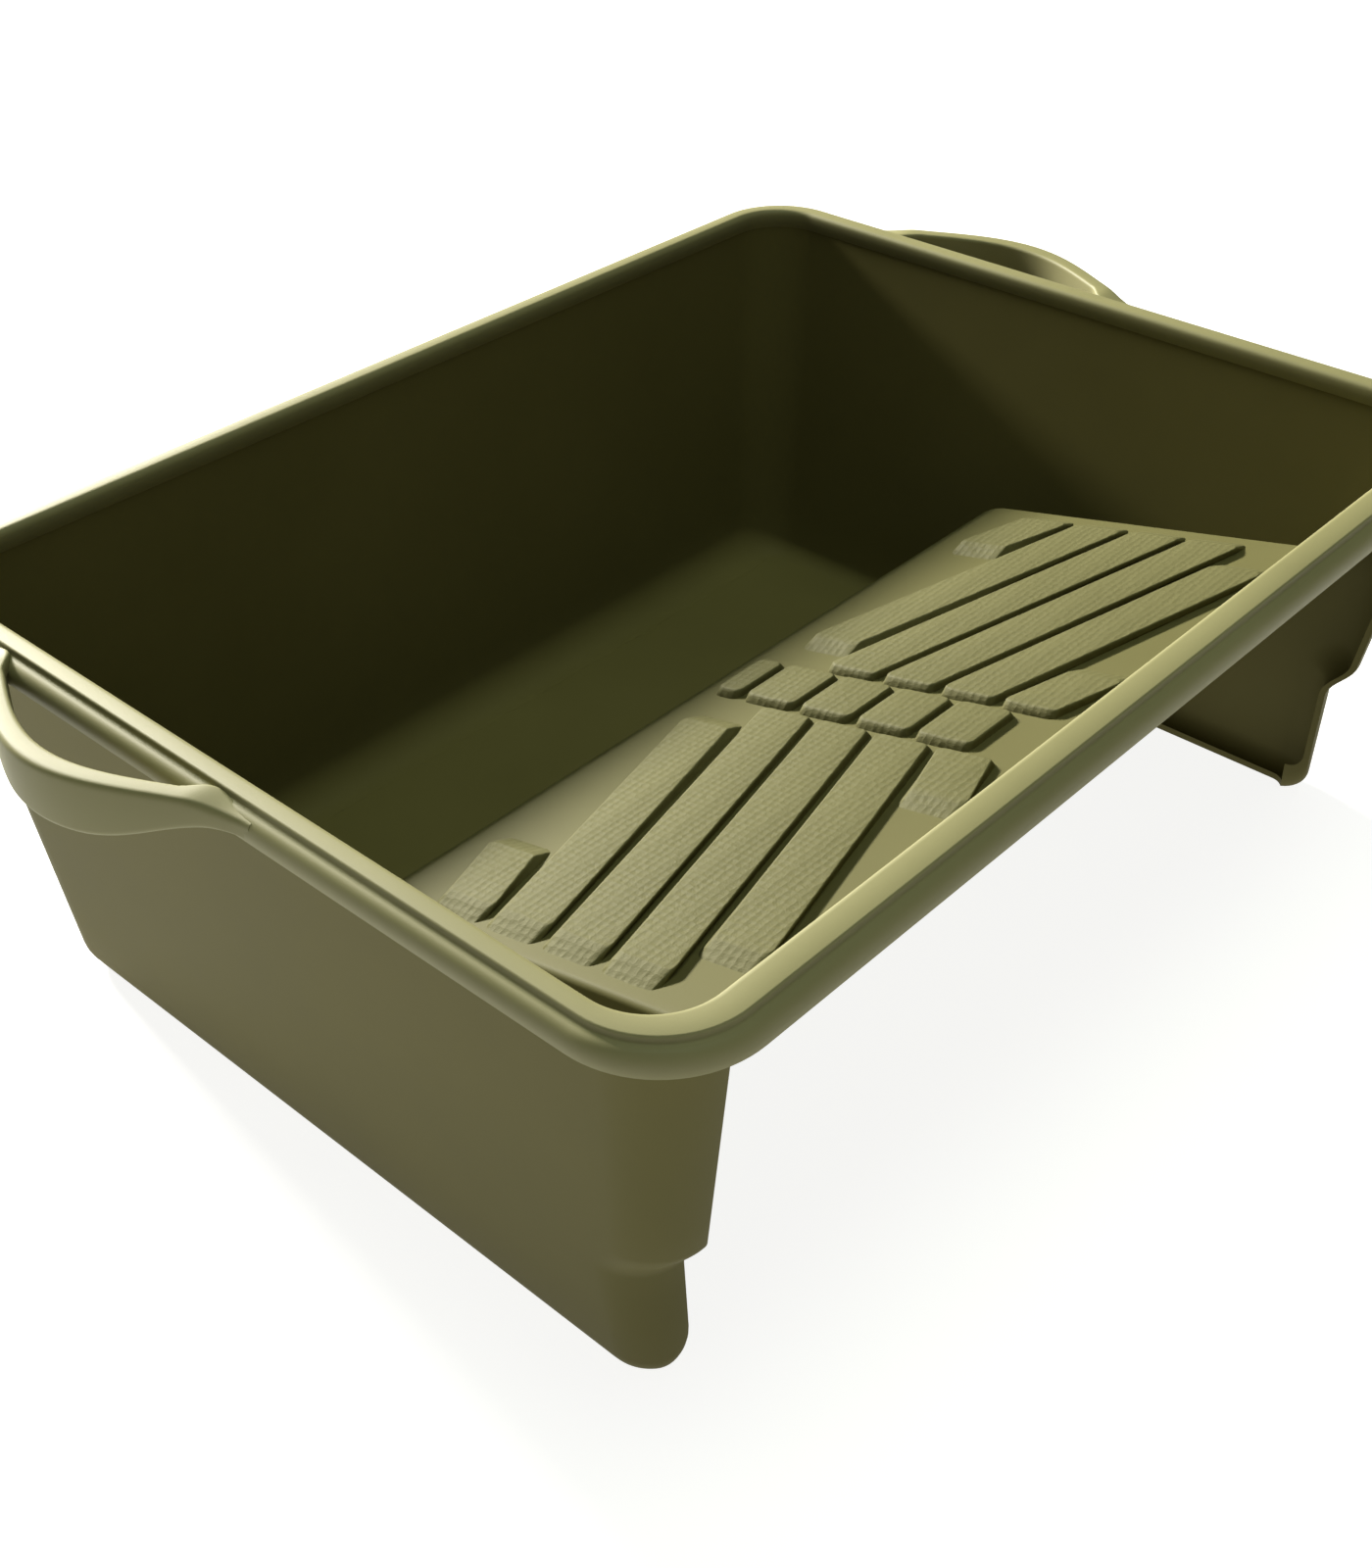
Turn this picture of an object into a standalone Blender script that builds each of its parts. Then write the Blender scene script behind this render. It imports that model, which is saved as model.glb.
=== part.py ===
"""Deep-well paint roller tray for wide rollers, modelled in metres, +Z up, front (ramp end) towards -Y.

The real tray is one plastic moulding. Here it is cut along its own feature lines (walls, corners,
floor, ramp, troughs, rim, grips, ribs) into separate solids with a hairline gap between neighbours.
"""

import math

import bmesh
import bpy
from mathutils import Vector

# Driving dimensions
RIM_WIDTH = 0.533  # across the outer lip, left to right
RIM_DEPTH = 0.415  # across the outer lip, front to back
HEIGHT = 0.197  # ground to the top of the rim
WALL = 0.003
GAP = 0.0003  # between neighbouring solids

# Walls: distance from the middle at the ground and at DRAFT_TOP
DRAFT_TOP = 0.186
SIDE_AT_GROUND, SIDE_AT_TOP = 0.237, 0.2565
SIDE_SEAM_Y_FRONT, SIDE_SEAM_Y_BACK = -0.145, 0.158  # where the side walls meet the legs and corners
BACK_SEAM_X = 0.205
BACK_AT_GROUND, BACK_AT_TOP = 0.1865, 0.1974
FRONT_AT_GROUND, FRONT_AT_TOP = 0.170, 0.197
FRONT_CORNER_AT_GROUND, FRONT_CORNER_AT_TOP = 0.0185, 0.0285
BACK_CORNER_AT_GROUND, BACK_CORNER_AT_TOP = 0.026, 0.031
WALL_TOP = 0.1897
FOOT_TOP = 0.0685  # the front legs step in below this height
FOOT_FRONT = 0.170
FOOT_STEP = 0.019  # height of the sloping shoulder above the foot
FOOT_ROUND = 0.013  # rounding of the foot's free lower corner
BACK_FILLET, SIDE_FILLET = 0.020, 0.011

# Well and ramp: the ramp's top face is z = RAMP_HEIGHT - RAMP_SLOPE * y
RAMP_HEIGHT, RAMP_SLOPE = 0.1053, 0.239
CREST_Y = 0.014  # where the ramp's plane and the riser would meet if the crest were sharp
CREST_ROUND = 0.026
RISER_FOOT_Y = 0.040
DECK_HALF_WIDTH = 0.201
TROUGH_DROP = 0.034  # depth of the side troughs below the ramp
TROUGH_DRAFT = 0.009
FRONT_WALL_TOP_Y = -0.190
FRONT_WALL_SLOPE = 2.18  # rise over run

# Ribs on the ramp
RIB_HEIGHT, RIB_WIDTH, RIB_TOP = 0.0034, 0.0262, 0.0238
RIB_ROWS, RIB_PITCH = 6, 0.029
RIB_ANGLE = math.radians(14.8)
RIB_INNER_X, RIB_OUTER_X = 0.0185, 0.1935
RIB_INNER_RUN, RIB_OUTER_RUN = 0.002, 0.008  # length of the sloping ends
CENTRE_RIB_HALF = 0.0170
FIRST_RIB_Y = -0.00025  # front edge of the first full rib at its inner end
LAST_RIB_Y = -0.007  # no slanted rib reaches closer to the crest than this
CREST_START_Y = -0.0015  # and no middle rib closer than this
RIB_FRONT_CLEARANCE = 0.012

# Rim
LIP_DROP = 0.0114
LEDGE_DROP = 0.0026  # the rolled lip starts this far below the land
LEDGE_WIDTH = 0.0056
LIP_CORNER = 0.040
RIM_INNER_SIDE, RIM_INNER_BACK, RIM_INNER_FRONT = 0.2525, 0.1935, 0.190
RIM_INNER_CORNER = 0.026
RIM_SEAM_X = 0.222
SKIRT_WIDTH = 0.006

# Grips
GRIP_MIDDLE_Y, GRIP_HALF_LENGTH, GRIP_REACH = 0.057, 0.084, 0.029
GRIP_TOP, GRIP_BOTTOM, GRIP_BAR = 0.1965, 0.172, 0.0090
GRIP_END_BOTTOM = 0.1866  # the bar rises to this level where it runs out into the lip
GRIP_WEB = 0.006  # over this run at each end, the gap between bar and rim fills in

ARC_STEPS = 8
OLIVE = (0.19, 0.175, 0.075, 1.0)


def blend(a, b, t):
    return a + (b - a) * t


def smooth(t):
    t = min(max(t, 0.0), 1.0)
    return t * t * (3 - 2 * t)


def clear_scene():
    for obj in list(bpy.data.objects):
        bpy.data.objects.remove(obj, do_unlink=True)


def material_for(name):
    material = bpy.data.materials.new(name + "_plastic")
    material.use_nodes = True
    shader = material.node_tree.nodes["Principled BSDF"]
    shader.inputs["Base Color"].default_value = OLIVE
    shader.inputs["Roughness"].default_value = 0.45
    return material


def add_object(name, mesh_builder):
    """A new object from a bmesh, with outward normals and its own material."""
    bmesh.ops.remove_doubles(mesh_builder, verts=mesh_builder.verts, dist=1e-7)
    bmesh.ops.recalc_face_normals(mesh_builder, faces=mesh_builder.faces)
    mesh = bpy.data.meshes.new(name)
    mesh_builder.to_mesh(mesh)
    mesh_builder.free()
    obj = bpy.data.objects.new(name, mesh)
    bpy.context.scene.collection.objects.link(obj)
    mesh.materials.append(material_for(name))
    return obj


def loft(name, sections):
    """A solid through closed loops of equal length, capped at both ends."""
    builder = bmesh.new()
    rings = [[builder.verts.new(point) for point in loop] for loop in sections]
    count = len(rings[0])
    for ring, after in zip(rings, rings[1:]):
        for i in range(count):
            j = (i + 1) % count
            builder.faces.new((ring[i], ring[j], after[j], after[i]))
    builder.faces.new(rings[0])
    builder.faces.new(rings[-1])
    return add_object(name, builder)


def boolean(obj, other, operation):
    """Applies one exact Boolean to obj and hides the other object as a cutter."""
    modifier = obj.modifiers.new(operation.lower() + "_" + other.name, "BOOLEAN")
    modifier.operation = operation
    modifier.solver = "EXACT"
    modifier.object = other
    other.hide_render = True
    other.display_type = "WIRE"


# Plan outline of the walls: stations on arcs and straight runs, evaluated at any height


def wall_plan(z, inset=0.0):
    """The walls' outside at height z, moved in: (half width, front, back, front radius, back radius)."""
    t = z / DRAFT_TOP
    front = blend(FRONT_AT_GROUND, FRONT_AT_TOP, t)
    foot = smooth((FOOT_TOP - z) / FOOT_STEP + 0.5)
    front = blend(front, FOOT_FRONT, foot)
    return (
        blend(SIDE_AT_GROUND, SIDE_AT_TOP, t) - inset,
        front - inset,
        blend(BACK_AT_GROUND, BACK_AT_TOP, t) - inset,
        max(blend(FRONT_CORNER_AT_GROUND, FRONT_CORNER_AT_TOP, t) - inset, 0.0005),
        max(blend(BACK_CORNER_AT_GROUND, BACK_CORNER_AT_TOP, t) - inset, 0.0005),
    )


def arc_station(side, end, t):
    """On a corner: side -1 left, 1 right; end -1 front, 1 back; t 0 faces the end, 1 faces the side."""
    return ("arc", side, end, t)


def side_station(side, y):
    """On a straight side wall, at a given y."""
    return ("side", side, 0, y)


def end_station(end, x):
    """On the straight front or back, at a given x."""
    return ("end", 0, end, x)


def plan_point(station, plan):
    """Position and outward normal of a station on the rounded rectangle that plan describes."""
    kind, side, end, t = station
    half, front, back, front_radius, back_radius = plan
    reach, radius = (back, back_radius) if end > 0 else (front, front_radius)
    if kind == "arc":
        normal = Vector((side * math.sin(t * math.pi / 2), end * math.cos(t * math.pi / 2), 0))
        centre = Vector((side * (half - radius), end * (reach - radius), 0))
        return centre + normal * radius, normal
    if kind == "side":
        return Vector((side * half, t, 0)), Vector((side, 0, 0))
    return Vector((t, end * reach, 0)), Vector((0, end, 0))


def steps(first, last, count):
    return [blend(first, last, i / count) for i in range(count + 1)]


def floor_fillet(station):
    """Radius of the bottom edge: largest at the back."""
    kind, _, end, t = station
    if kind == "end":
        return BACK_FILLET
    if kind == "arc" and end > 0:
        return blend(BACK_FILLET, SIDE_FILLET, smooth(t))
    return SIDE_FILLET


def foot_lift(station):
    """How far the rounding of the foot's free corner raises its bottom edge."""
    kind, _, end, t = station
    along = t * FRONT_CORNER_AT_GROUND * math.pi / 2
    if kind != "arc" or end > 0 or along >= FOOT_ROUND:
        return 0.0
    return FOOT_ROUND - math.sqrt(FOOT_ROUND**2 - (FOOT_ROUND - along) ** 2)


def wall_section(station):
    """Closed upright section of the wall at one station: down the outside, up the inside."""
    radius, lift = floor_fillet(station), foot_lift(station)
    inner_radius = radius - WALL
    levels = [WALL_TOP, 0.130]
    levels += [FOOT_TOP + FOOT_STEP * share for share in (0.5, 0.25, 0, -0.25, -0.5)] + [0.030]
    bends = [i * math.pi / 10 for i in range(6)]

    def at(z, inset):
        point, _ = plan_point(station, wall_plan(z, inset))
        return Vector((point.x, point.y, z))

    outside = [at(z, 0) for z in levels]
    inside = [at(z, WALL) for z in levels]
    for bend in bends:
        rise, move = 1 - math.sin(bend), 1 - math.cos(bend)
        outside.append(at(lift + radius * rise, radius * move))
        inside.append(at(lift + WALL + inner_radius * rise, WALL + inner_radius * move))
    return outside + inside[::-1]


def wall_piece(name, stations):
    return loft(name, [wall_section(station) for station in stations])


def front_arc():
    """Steps round a front corner, closer together towards the foot's free edge."""
    return [t**1.4 for t in steps(0, 1, ARC_STEPS)]


def make_walls():
    """Legs and corners run a little way along the straights, so every joint between walls is one flat cut."""
    front, back = SIDE_SEAM_Y_FRONT, SIDE_SEAM_Y_BACK
    half_gap = GAP / 2
    for side, word in ((-1, "left"), (1, "right")):
        run = steps(front + half_gap, back - half_gap, 4)
        wall_piece(word + "_wall", [side_station(side, y) for y in run])
        arc = [arc_station(side, -1, t) for t in front_arc()]
        wall_piece("front_" + word + "_leg", arc + [side_station(side, front - half_gap)])
        arc = [arc_station(side, 1, t) for t in steps(0, 1, ARC_STEPS)]
        ends = end_station(1, side * (BACK_SEAM_X + half_gap)), side_station(side, back + half_gap)
        wall_piece("back_" + word + "_corner", [ends[0]] + arc + [ends[1]])
    ends = steps(-(BACK_SEAM_X - half_gap), BACK_SEAM_X - half_gap, 2)
    wall_piece("back_wall", [end_station(1, x) for x in ends])


def make_interior():
    """The space between the walls, used to trim what spans them."""
    stations = []
    for end, side in ((-1, 1), (1, 1), (1, -1), (-1, -1)):
        arc = front_arc() if end < 0 else steps(0, 1, ARC_STEPS)
        arc = arc if (end < 0) == (side > 0) else arc[::-1]
        stations += [arc_station(side, end, t) for t in arc]
    sections = []
    for inset, z in ((0.0095, WALL + GAP), (0.005, 0.0042), (0.0017, 0.0075), (0, 0.014), (0, WALL_TOP)):
        half, _, back, front_radius, back_radius = wall_plan(z, WALL + GAP + inset)
        front = blend(FRONT_AT_GROUND, FRONT_AT_TOP, z / DRAFT_TOP) - WALL - GAP
        loop = [plan_point(s, (half, front, back, front_radius, back_radius))[0] for s in stations]
        sections.append([Vector((p.x, p.y, z)) for p in loop])
    return loft("interior_cutter", sections)


def across(name, outline, half_width):
    """A prism along X from an outline of (y, z) points."""
    return loft(name, [[Vector((x, y, z)) for y, z in outline] for x in (-half_width, half_width)])


def ramp_top(y):
    return RAMP_HEIGHT - RAMP_SLOPE * y


def front_wall_y(z):
    """Inner face of the sloping front wall."""
    return FRONT_WALL_TOP_Y + (WALL_TOP - z) / FRONT_WALL_SLOPE


def ramp_end_y(drop):
    """Where the ramp's top, lowered by drop, meets the front wall."""
    along = WALL_TOP - RAMP_HEIGHT + drop
    return (FRONT_WALL_TOP_Y + along / FRONT_WALL_SLOPE) / (1 - RAMP_SLOPE / FRONT_WALL_SLOPE)


def crest_line(drop):
    """The ramp's top line from the front wall round its crest, lowered by drop."""
    lean, last = math.atan(RAMP_SLOPE), math.radians(76)
    start_y = CREST_Y - CREST_ROUND * math.tan((last - lean) / 2) * math.cos(lean)
    centre_y = start_y - CREST_ROUND * math.sin(lean)
    centre_z = ramp_top(start_y) - drop - CREST_ROUND * math.cos(lean)
    line = [(ramp_end_y(drop) + GAP * 1.2, ramp_top(ramp_end_y(drop) + GAP * 1.2) - drop)]
    for turn in steps(lean, last, 7):
        line.append((centre_y + CREST_ROUND * math.sin(turn), centre_z + CREST_ROUND * math.cos(turn)))
    return line


def make_deck():
    outline = crest_line(0) + crest_line(WALL)[::-1]
    across("ramp_deck", outline, DECK_HALF_WIDTH)


def riser_point(depth):
    """(y, z) on the riser's face, at a depth below the end of the crest."""
    top_y, top_z = crest_line(0)[-1]
    return top_y + (RISER_FOOT_Y - top_y) * depth / (top_z - WALL), top_z - depth


def make_riser(interior):
    """Steep wall between the crest and the well floor, lower where the side troughs drain over it."""
    foot, under = DECK_HALF_WIDTH + TROUGH_DRAFT, TROUGH_DROP + WALL + GAP
    bottom = crest_line(0)[-1][1] - WALL - GAP
    # (distance from the middle, depth below the crest)
    outline = [
        (0.26, bottom),
        (0.26, under),
        (foot + 0.0015, under),
        (foot - WALL - GAP * 1.5, TROUGH_DROP),
        (DECK_HALF_WIDTH, WALL * 1.6),
        (DECK_HALF_WIDTH, WALL + GAP),
    ]
    outline += [(-x, depth) for x, depth in outline[::-1]]
    sections = []
    for back in (0, WALL):
        loop = []
        for x, depth in outline:
            y, z = riser_point(depth)
            loop.append(Vector((x, y - back, z)))
        sections.append(loop)
    boolean(loft("well_riser", sections), interior, "INTERSECT")


def make_front_wall(interior):
    """Sloping wall from the ramp's front end up to the rim."""
    edge = DECK_HALF_WIDTH + TROUGH_DRAFT
    deck_end, trough_end = ramp_end_y(0), ramp_end_y(TROUGH_DROP)
    deck_z = ramp_top(deck_end) - WALL * 1.5
    trough_z = ramp_top(trough_end) - TROUGH_DROP - WALL * 1.5
    outline = [(-0.27, WALL_TOP), (-0.27, trough_z), (-edge, trough_z), (-edge, deck_z)]
    outline += [(-x, z) for x, z in outline[::-1]]
    sections = [[Vector((x, front_wall_y(z) - back, z)) for x, z in outline] for back in (0, WALL)]
    boolean(loft("front_wall", sections), interior, "INTERSECT")


def make_troughs(interior):
    """A channel on each side of the ramp: its sloping floor and the flank up to the ramp's edge."""
    foot, top = DECK_HALF_WIDTH + TROUGH_DRAFT, DECK_HALF_WIDTH + GAP
    drop, thick = TROUGH_DROP, WALL
    # (distance from the middle, depth below the ramp's plane)
    outline = [
        (0.26, drop),
        (foot + 0.004, drop),
        (foot, drop - 0.004),
        (top + thick * 0.5, GAP),
        (top, GAP),
        (top, thick * 1.6),
        (foot - thick, drop),
        (foot + 0.002, drop + thick),
        (0.26, drop + thick),
    ]
    lean = riser_point(1)[0] - riser_point(0)[0]
    for side, word in ((-1, "left"), (1, "right")):
        sections = []
        for i in range(len(crest_line(0))):
            loop = []
            for x, depth in outline:
                y, z = crest_line(depth)[i]
                loop.append(Vector((side * x, y + (depth * lean if i else 0), z)))
            sections.append(loop)
        boolean(loft(word + "_trough", sections), interior, "INTERSECT")


def make_floor():
    """Flat bottom of the well, inside the walls' rounded lower edges."""
    loop = []
    for side in (1, -1):
        arc = steps(0, 1, ARC_STEPS)
        for t in arc[::-1] if side > 0 else arc:
            station = arc_station(side, 1, t)
            edge, _ = plan_point(station, wall_plan(0, floor_fillet(station)))
            loop.append(edge - Vector((side * GAP, GAP, 0)))
    front = RISER_FOOT_Y - WALL
    half = SIDE_AT_GROUND - SIDE_FILLET - GAP
    loop = [Vector((half, front, 0))] + loop + [Vector((-half, front, 0))]
    loft("well_floor", [[point + Vector((0, 0, z)) for point in loop] for z in (0, WALL)])


def rim_section(station):
    """Closed section of the rim: rolled lip, small step, flat land, inner edge, and the hollow under it."""
    outer = (RIM_WIDTH / 2, RIM_DEPTH / 2, RIM_DEPTH / 2, LIP_CORNER, LIP_CORNER)
    inner = (RIM_INNER_SIDE, RIM_INNER_FRONT, RIM_INNER_BACK, RIM_INNER_CORNER, RIM_INNER_CORNER)

    def at(plan, inset, drop):
        plan = tuple(value - inset for value in plan)
        point, _ = plan_point(station, plan)
        return Vector((point.x, point.y, HEIGHT - drop))

    skirt = HEIGHT - WALL_TOP - GAP
    return [
        at(outer, 0, LIP_DROP),
        at(outer, 0, LEDGE_DROP + 0.0044),
        at(outer, 0.0008, LEDGE_DROP + 0.0022),
        at(outer, 0.0026, LEDGE_DROP + 0.0006),
        at(outer, LEDGE_WIDTH - 0.0006, LEDGE_DROP),
        at(outer, LEDGE_WIDTH, 0.0006),
        at(outer, LEDGE_WIDTH + 0.0006, 0),
        at(inner, -0.0024, 0),
        at(inner, -0.0007, 0.0007),
        at(inner, 0, 0.0024),
        at(inner, 0.0007, skirt),
        at(inner, -SKIRT_WIDTH, skirt),
        at(inner, -SKIRT_WIDTH, WALL),
        at(outer, LEDGE_WIDTH + WALL * 0.5, WALL),
        at(outer, LEDGE_WIDTH, LEDGE_DROP + WALL * 0.9),
        at(outer, WALL * 1.2, LEDGE_DROP + WALL),
        at(outer, WALL * 0.8, LEDGE_DROP + WALL * 1.5),
        at(outer, WALL * 0.8, LIP_DROP),
    ]


def make_rim():
    """The side lengths take in the corners, and front and back are straight, so every joint is one flat cut."""
    arc = steps(0, 1, ARC_STEPS)
    for side, word in ((-1, "left"), (1, "right")):
        seam = side * (RIM_SEAM_X + GAP / 2)
        stations = [end_station(-1, seam)] + [arc_station(side, -1, t) for t in arc]
        stations += [arc_station(side, 1, t) for t in arc[::-1]] + [end_station(1, seam)]
        loft("rim_" + word, [rim_section(station) for station in stations])
    seam = RIM_SEAM_X - GAP / 2
    for end, word in ((-1, "front"), (1, "back")):
        loft("rim_" + word, [rim_section(end_station(end, x)) for x in (-seam, seam)])


def grip_reach(y):
    """How far the grip's outer edge stands out from the lip at y."""
    u = (y - GRIP_MIDDLE_Y) / GRIP_HALF_LENGTH
    return GRIP_REACH * (0.5 + 0.5 * math.cos(math.pi * u)) ** 0.8


def make_grips():
    """A bar bowed outwards from the lip, webbed to the rim at both ends, with a finger opening between."""
    base, round_off = RIM_WIDTH / 2 + GAP, 0.002
    step_edge = RIM_WIDTH / 2 - LEDGE_WIDTH + GAP * 3.5
    ledge = HEIGHT - LEDGE_DROP + GAP
    for side, word in ((-1, "left"), (1, "right")):
        sections = []
        for u in steps(-0.97, 0.97, 36):
            y = GRIP_MIDDLE_Y + GRIP_HALF_LENGTH * u
            reach = grip_reach(y)
            outside = base + reach
            inside = max(base, outside - GRIP_BAR)
            web = smooth((GRIP_BAR + GRIP_WEB * 0.5 - reach) / GRIP_WEB)
            upper_inside = blend(inside, step_edge, web)
            low = blend(GRIP_END_BOTTOM, GRIP_BOTTOM, smooth(reach / GRIP_REACH))
            soft = min(round_off, (outside - inside) / 3)
            outline = [
                (inside, low),
                (inside, ledge - 0.0001),
                (upper_inside, ledge),
                (upper_inside, GRIP_TOP),
                (outside - soft, GRIP_TOP),
                (outside, GRIP_TOP - soft),
                (outside, low + soft),
                (outside - soft, low),
            ]
            sections.append([Vector((side * x, y, z)) for x, z in outline])
        loft(word + "_grip", sections)


def rib(name, start_x, end_x, runs, y_at, low_y):
    """A raised bar across the ramp, front edge at y_at(x) and kept behind low_y, with sloping ends."""
    foot = (RIB_WIDTH - RIB_TOP) / 2
    rows = ((0, GAP), (foot, RIB_HEIGHT), (RIB_WIDTH - foot, RIB_HEIGHT), (RIB_WIDTH, GAP))
    forward = 1 if end_x > start_x else -1
    sections = []
    for x, run in ((start_x, runs[0] * forward), (end_x, -runs[1] * forward)):
        loop = []
        for back, up in rows:
            y = min(max(y_at(x) + back, low_y), CREST_START_Y)
            loop.append(Vector((x + (0 if up == GAP else run), y, ramp_top(y) + up)))
        sections.append(loop)
    return loft(name, sections)


def make_ribs():
    """Two fans of slanted ribs and a middle column of short ones, half a pitch out of step."""
    slope = math.tan(RIB_ANGLE)
    low_y = ramp_end_y(0) + RIB_FRONT_CLEARANCE
    for i in range(RIB_ROWS):
        front_edge = FIRST_RIB_Y - RIB_PITCH * i
        # The first rib starts further out, where its line has come clear of the crest.
        inner = max(RIB_INNER_X, RIB_INNER_X + (front_edge + RIB_WIDTH - LAST_RIB_Y) / slope)
        outer = min(RIB_OUTER_X, RIB_INNER_X + (front_edge - low_y) / slope)
        for side, word in ((-1, "left"), (1, "right")):

            def slanted(x, front_edge=front_edge):
                return front_edge - slope * (abs(x) - RIB_INNER_X)

            runs = (RIB_INNER_RUN if inner == RIB_INNER_X else RIB_OUTER_RUN, RIB_OUTER_RUN)
            rib(f"rib_{word}_{i + 1}", side * inner, side * outer, runs, slanted, low_y)
        middle_edge = front_edge - RIB_PITCH / 2
        if middle_edge > low_y:
            half, runs = CENTRE_RIB_HALF, (RIB_INNER_RUN, RIB_INNER_RUN)
            rib(f"rib_middle_{i + 1}", -half, half, runs, lambda x: middle_edge, low_y)


def main():
    clear_scene()
    make_walls()
    interior = make_interior()
    make_floor()
    make_deck()
    make_riser(interior)
    make_troughs(interior)
    make_front_wall(interior)
    make_rim()
    make_grips()
    make_ribs()


main()
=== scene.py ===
"""Looks of the paint roller tray: seamless moulded pieces, olive plastic, pale studio, camera."""

import math

import bmesh
import bpy
import numpy as np
from mathutils import Matrix, Vector


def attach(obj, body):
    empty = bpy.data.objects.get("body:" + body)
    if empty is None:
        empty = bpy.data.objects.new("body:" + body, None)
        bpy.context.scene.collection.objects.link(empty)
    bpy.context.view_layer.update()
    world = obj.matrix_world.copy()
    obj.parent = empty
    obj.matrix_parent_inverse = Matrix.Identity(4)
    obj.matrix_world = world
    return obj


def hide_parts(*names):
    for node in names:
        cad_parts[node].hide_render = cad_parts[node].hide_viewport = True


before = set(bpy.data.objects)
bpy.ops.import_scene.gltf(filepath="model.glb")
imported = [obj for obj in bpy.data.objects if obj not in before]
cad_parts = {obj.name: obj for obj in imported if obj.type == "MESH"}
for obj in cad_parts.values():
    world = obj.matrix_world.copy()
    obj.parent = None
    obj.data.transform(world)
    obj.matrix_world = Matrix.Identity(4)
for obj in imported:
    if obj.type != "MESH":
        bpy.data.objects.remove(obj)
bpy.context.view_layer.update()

# All sizes are in metres
WALL = 0.003
SEAM_LAP = 0.0006  # how far a piece runs into the one that it grows out of
WALL_LAP = 0.0012  # the same, for the ramp's edges in the side walls
SMALLEST_CORNER = 0.0005
FLOOR_INSET = 0.00001  # keeps the well floor's faces off the walls' bottom faces

# Walls: distance from the middle at the ground and at DRAFT_TOP
DRAFT_TOP, WALL_TOP = 0.186, 0.1925
WALL_LEVELS_HIGH, WALL_LEVELS_LOW = (WALL_TOP, 0.150, 0.115, 0.090), (0.045, 0.030)
SIDE_RUN, BACK_RUN = (-0.14, 0.15), (-0.20, 0.20)  # straight lengths
SIDE = (0.237, 0.2565)
BACK = (0.1865, 0.1974)
FRONT = (0.170, 0.197)
FRONT_CORNER, BACK_CORNER = (0.0185, 0.0285), (0.026, 0.031)
FRONT_CORNER_CROWDING = 1.4  # packs the front corner's columns towards its free edge
FOOT_TOP, FOOT_FRONT, FOOT_STEP, FOOT_ROUND = 0.0685, 0.170, 0.019, 0.013
BACK_FILLET, SIDE_FILLET = 0.020, 0.011

# Ramp
RAMP_HEIGHT, RAMP_SLOPE = 0.1053, 0.239
CREST_Y, CREST_ROUND = 0.014, 0.026
RISER_FOOT_Y, RISER_FILLET = 0.040, 0.008
DECK_HALF_WIDTH, DECK_EDGE_ROUND = 0.201, 0.003
TROUGH_DROP, TROUGH_DRAFT, TROUGH_FILLET = 0.034, 0.0091, 0.005
FRONT_TOP_Y, FRONT_TOP_Z, FRONT_SLOPE, FRONT_FILLET = -0.190, 0.1897, 2.18, 0.012
UNDERSIDE_SHARE = 0.95  # of the wall's thickness, which keeps the ramp's foot off the ground

# Ribs
RIB_HEIGHT, RIB_WIDTH, RIB_DRAFT, RIB_ROUND = 0.0034, 0.0262, 0.0005, 0.0010
RIB_ROWS, RIB_PITCH = 6, 0.029
RIB_SLOPE = math.tan(math.radians(14.8))
RIB_INNER_X, RIB_OUTER_X, CENTRE_RIB_HALF = 0.0185, 0.1935, 0.0170
RIB_INNER_RUN, RIB_OUTER_RUN = 0.002, 0.008
FIRST_RIB_Y, LAST_RIB_Y = -0.00025, -0.007
RIB_FRONT_Y, CREST_START_Y = -0.1565, -0.0015
RIB_CORNER, RIB_LEAST_CORNER = 0.004, 0.0012

# Rim: plans as wall_plan gives them, then (inset, z) points and quarter turns from the lip inwards
RIM_HALF_WIDTH, RIM_HALF_DEPTH = 0.2665, 0.2075
RIM_OUTER = (RIM_HALF_WIDTH, RIM_HALF_DEPTH, RIM_HALF_DEPTH, 0.040, 0.040)
RIM_INNER = (0.2525, 0.190, 0.1935, 0.026, 0.026)
LIP_SIDE = ((0.0006, 0.1856), (0, 0.1862), (0, 0.1890))
LIP_ROLL_IN, LIP_ROLL_UP = 0.0046, 0.0054
LEDGE = ((0.0051, 0.1945), (0.0054, 0.1949))
STEP_INSET, STEP_HIGH, STEP_ROUND = 0.0056, 0.1960, 0.0010
INNER_HIGH, INNER_ROUND, INNER_LOW = 0.1942, 0.0028, (0.0002, 0.1915)
UNDER_WALL_TOP = ((WALL - 0.0004, 0.1868), (0.001, 0.1868))
UNDER_LIP = ((0.0076, 0.1876), (0.0026, 0.1874), (0.0022, 0.1856))

# Grips
GRIP_MIDDLE_Y, GRIP_HALF_LENGTH, GRIP_REACH = 0.057, 0.084, 0.0291
GRIP_TOP, GRIP_BOTTOM, GRIP_BAR, GRIP_ROUND = 0.1963, 0.1722, 0.0090, 0.0028
GRIP_END_BOTTOM, GRIP_END_TOP, GRIP_WEB = 0.1870, 0.1936, 0.006
GRIP_END_SHARE = 0.985  # how much of the half length is drawn before the bar is inside the lip
GRIP_BASE_X, GRIP_SKIN_X = RIM_HALF_WIDTH - 0.0012, RIM_HALF_WIDTH - 0.0004
GRIP_STEP_X, GRIP_LEDGE = RIM_HALF_WIDTH - 0.0062, 0.1915

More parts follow.
